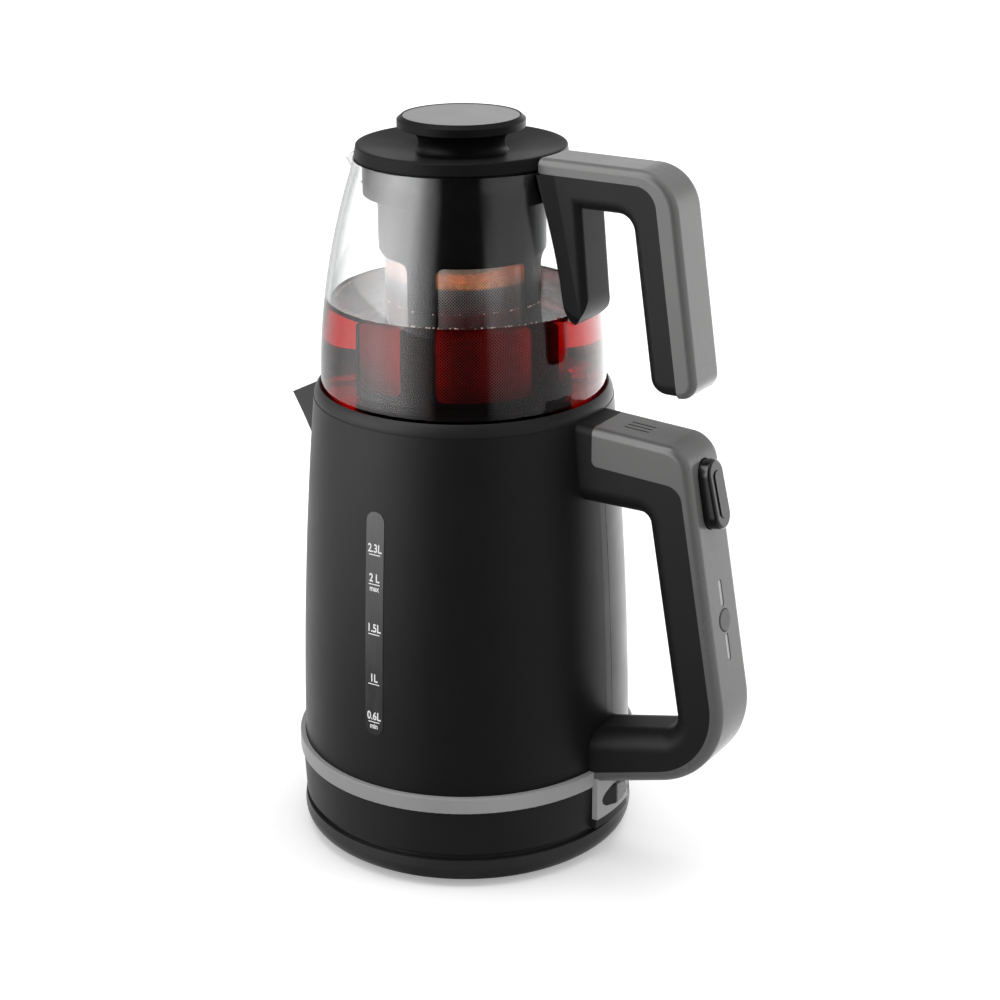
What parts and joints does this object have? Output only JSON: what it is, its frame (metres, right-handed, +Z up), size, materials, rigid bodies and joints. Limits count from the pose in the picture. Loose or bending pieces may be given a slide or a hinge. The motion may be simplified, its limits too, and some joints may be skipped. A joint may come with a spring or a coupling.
{
  "type": "automatic tea maker",
  "caption": "Electric tea maker: round kettle on a cordless power base, with handle, spout and level window, and a glass teapot with basket infuser and knobbed lid standing on it.",
  "frame": {"origin": "on the table under the kettle's axis, at the middle of the power base's underside", "axes": "+Z up along the kettle's axis, +X towards the handles, -X towards the spout, -Y towards the level window"},
  "size_m": [0.2561, 0.1733, 0.3635],
  "materials": {
    "base_black": "satin",
    "rubber": "matte",
    "screw_steel": "plain",
    "contact_brass": "plain",
    "terminal_white": "plain",
    "inner_black": "plain",
    "skirt_black": "satin",
    "trim_grey": "satin",
    "bare_steel": "brushed",
    "spreader_aluminium": "plain",
    "body_black": "soft satin",
    "spout_black": "soft satin",
    "window_clear": "frosted grey",
    "silicone": "matte",
    "filter_steel": "perforated",
    "collar_black": "satin",
    "grip_black": "soft touch",
    "handle_grey": "satin",
    "board_green": "plain",
    "button_black": "soft gloss",
    "switch_dark": "plain",
    "key_grey": "satin",
    "lens_pale": "frosted",
    "panel_grey": "satin",
    "rocker_grey": "satin",
    "teapot_glass": "clear",
    "infuser_black": "satin",
    "mesh_steel": "woven",
    "lid_black": "satin",
    "insert_grey": "satin"
  },
  "bodies": {
    "power_base": {"base_tray": "base_black", "cord_gland": "base_black", "base_deck": "base_black", "base_screws": "screw_steel", "base_feet": "rubber", "base_connector": "base_black", "base_contacts": "contact_brass", "terminal_block": "terminal_white"},
    "socket": {"kettle_socket": "inner_black", "socket_pin": "contact_brass"},
    "kettle": {"base_skirt": "skirt_black", "skirt_plate": "inner_black", "skirt_screws": "screw_steel", "trim_band": "trim_grey", "heater_plate": "bare_steel", "heat_spreader": "spreader_aluminium", "heating_element": "bare_steel", "thermostat_control": "inner_black", "temperature_sensor": "bare_steel", "steam_tube": "bare_steel", "kettle_shell": "body_black", "level_window": "window_clear", "window_seal": "silicone", "spout": "spout_black", "spout_filter": "filter_steel", "collar_ring": "collar_black", "seat_gasket": "silicone", "handle_core": "grip_black", "handle_shell": "handle_grey", "handle_anchors": "bare_steel", "handle_screws": "screw_steel", "control_board": "board_green", "microswitch": "switch_dark", "key_switch": "switch_dark", "indicator_lenses": "lens_pale", "speaker": "switch_dark", "switch_panel": "panel_grey", "switch_block": "inner_black", "rocker_pin": "screw_steel"},
    "thumb_button": {"thumb_button": "button_black"},
    "round_key": {"round_key": "key_grey"},
    "rocker_switch": {"rocker_switch": "rocker_grey"},
    "teapot": {"teapot_glass": "teapot_glass", "bracket_pad": "silicone", "pot_handle_core": "grip_black", "pot_handle_shell": "handle_grey", "pot_handle_screw": "screw_steel"},
    "infuser": {"infuser_frame": "infuser_black", "infuser_mesh": "mesh_steel", "infuser_floor": "infuser_black"},
    "teapot_lid": {"lid_plate": "lid_black", "lid_seal": "silicone", "lid_knob": "lid_black", "knob_insert": "insert_grey", "lid_screw": "screw_steel"}
  },
  "joints": [
    {"name": "kettle_lift", "type": "slide", "parent": "power_base", "child": "socket", "axis": [0, 0, 1], "range_m": [0, 0.12]},
    {"name": "kettle_turn", "type": "hinge", "parent": "socket", "child": "kettle", "pos_m": [0, 0, 0.03], "axis": [0, 0, 1], "continuous": true},
    {"name": "thumb_press", "type": "slide", "parent": "kettle", "child": "thumb_button", "axis": [-0.9852, 0, -0.1714], "range_m": [0, 0.0015], "stiffness_N_per_m": 600, "springref_m": -0.001},
    {"name": "key_press", "type": "slide", "parent": "kettle", "child": "round_key", "axis": [-0.9852, 0, -0.1714], "range_m": [0, 0.0008], "stiffness_N_per_m": 400, "springref_m": -0.0008},
    {"name": "rocker_tilt", "type": "hinge", "parent": "kettle", "child": "rocker_switch", "pos_m": [0.0824, 0, 0.0326], "axis": [0, 0, 1], "range_deg": [0, 24]},
    {"name": "teapot_lift", "type": "slide", "parent": "kettle", "child": "teapot", "axis": [0, 0, 1], "range_m": [0, 0.15]},
    {"name": "infuser_lift", "type": "slide", "parent": "teapot", "child": "infuser", "axis": [0, 0, 1], "range_m": [0, 0.13]},
    {"name": "lid_lift", "type": "slide", "parent": "infuser", "child": "teapot_lid", "axis": [0, 0, 1], "range_m": [0, 0.06]}
  ]
}
